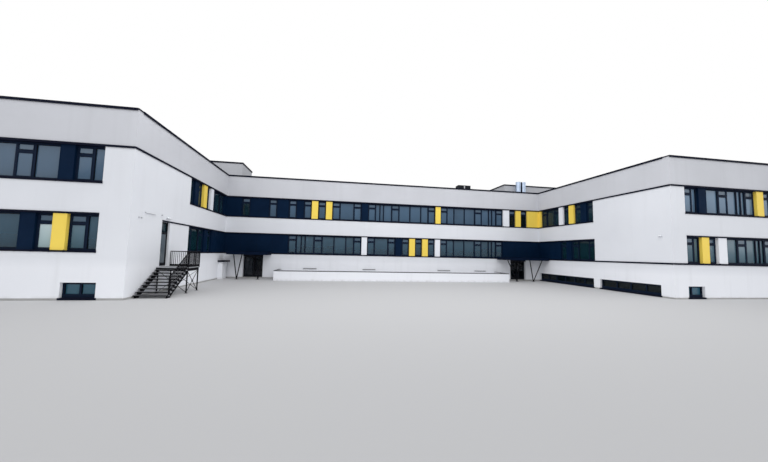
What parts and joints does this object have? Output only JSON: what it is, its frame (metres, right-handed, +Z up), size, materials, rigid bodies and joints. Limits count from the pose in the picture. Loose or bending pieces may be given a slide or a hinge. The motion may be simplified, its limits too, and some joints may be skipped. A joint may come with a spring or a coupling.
{
  "type": "school building, 1:2 scale model",
  "caption": "Hollow flat-roofed school with two wings and a centre block round a court, ribbon windows, hinged entrance doors, canopies and a steel side stair; half-size model.",
  "frame": {"origin": "middle of the plan at ground level", "axes": "+X along the front to the right as seen from the court, +Y to the back, +Z up"},
  "size_m": [33.05, 14.65, 6.15],
  "materials": {
    "wall_render": "smooth painted render",
    "parapet_render": "smooth painted render",
    "concrete": "smooth concrete",
    "dark_trim": "satin dark paint",
    "navy_cladding": "satin navy sheet",
    "yellow_cladding": "satin yellow sheet",
    "white_cladding": "satin white sheet",
    "window_frame": "satin dark grey frame",
    "window_glass": "clear tinted glazing",
    "door_glass": "clear tinted glazing",
    "door_metal": "satin dark door sections",
    "stair_steel": "satin black steel",
    "deck_grating": "galvanised grating",
    "canopy_metal": "satin dark sheet",
    "grey_coping": "grey coping",
    "duct_metal": "bright sheet steel",
    "unit_metal": "dark casing"
  },
  "bodies": {
    "building": {"air_unit": "unit_metal", "area_wall": "wall_render", "area_wall_coping": "grey_coping", "basement_window_frames": "window_frame", "basement_window_glass": "window_glass", "canopies": "canopy_metal", "canopy_columns": "stair_steel", "centre_base_slab": "concrete", "centre_roof_slab": "concrete", "entrance_frames": "door_metal", "entrance_lintels": "wall_render", "face_copings": "dark_trim", "face_parapets": "parapet_render", "face_piers": "wall_render", "face_plinths": "wall_render", "face_spandrels": "wall_render", "first_floor_slabs": "concrete", "first_floor_window_frames": "window_frame", "first_floor_window_glass": "window_glass", "flank_copings": "dark_trim", "flank_parapets": "parapet_render", "flank_piers": "wall_render", "flank_plinths": "wall_render", "flank_spandrels": "wall_render", "ground_floor_slabs": "concrete", "ground_floor_window_frames": "window_frame", "ground_floor_window_glass": "window_glass", "landing_braces": "stair_steel", "landing_channels": "stair_steel", "landing_deck": "deck_grating", "landing_legs": "stair_steel", "landing_railings": "stair_steel", "navy_panels": "navy_cladding", "roof_house_copings": "dark_trim", "roof_houses": "parapet_render", "service_block": "wall_render", "service_block_cap": "dark_trim", "side_door_frame": "door_metal", "side_door_transom_glass": "window_glass", "stair_railing": "stair_steel", "stair_stringers": "stair_steel", "stair_treads": "deck_grating", "string_courses": "dark_trim", "vent_ducts": "duct_metal", "white_panels": "white_cladding", "wing_base_slabs": "concrete", "wing_roof_slabs": "concrete", "yellow_panels": "yellow_cladding"},
    "left_entrance_left_door": {"left_entrance_left_leaf": "door_metal", "left_entrance_left_leaf_glass": "door_glass"},
    "left_entrance_right_door": {"left_entrance_right_leaf": "door_metal", "left_entrance_right_leaf_glass": "door_glass"},
    "right_entrance_left_door": {"right_entrance_left_leaf": "door_metal", "right_entrance_left_leaf_glass": "door_glass"},
    "right_entrance_right_door": {"right_entrance_right_leaf": "door_metal", "right_entrance_right_leaf_glass": "door_glass"},
    "side_door": {"side_door_leaf": "door_metal", "side_door_leaf_glass": "door_glass"}
  },
  "joints": [
    {"name": "left_entrance_left_hinge", "type": "hinge", "parent": "building", "child": "left_entrance_left_door", "pos_m": [-7.57, -0.056, 0.05], "axis": [0, 0, -1], "range_deg": [0, 90]},
    {"name": "left_entrance_right_hinge", "type": "hinge", "parent": "building", "child": "left_entrance_right_door", "pos_m": [-6.695, -0.056, 0.05], "axis": [0, 0, 1], "range_deg": [0, 90]},
    {"name": "right_entrance_left_hinge", "type": "hinge", "parent": "building", "child": "right_entrance_left_door", "pos_m": [6.73, -0.056, 0.05], "axis": [0, 0, -1], "range_deg": [0, 90]},
    {"name": "right_entrance_right_hinge", "type": "hinge", "parent": "building", "child": "right_entrance_right_door", "pos_m": [7.62, -0.056, 0.05], "axis": [0, 0, 1], "range_deg": [0, 90]},
    {"name": "side_door_hinge", "type": "hinge", "parent": "building", "child": "side_door", "pos_m": [-8.549, -5.33897, 0.8], "axis": [0, 0, 1], "range_deg": [0, 90]}
  ]
}
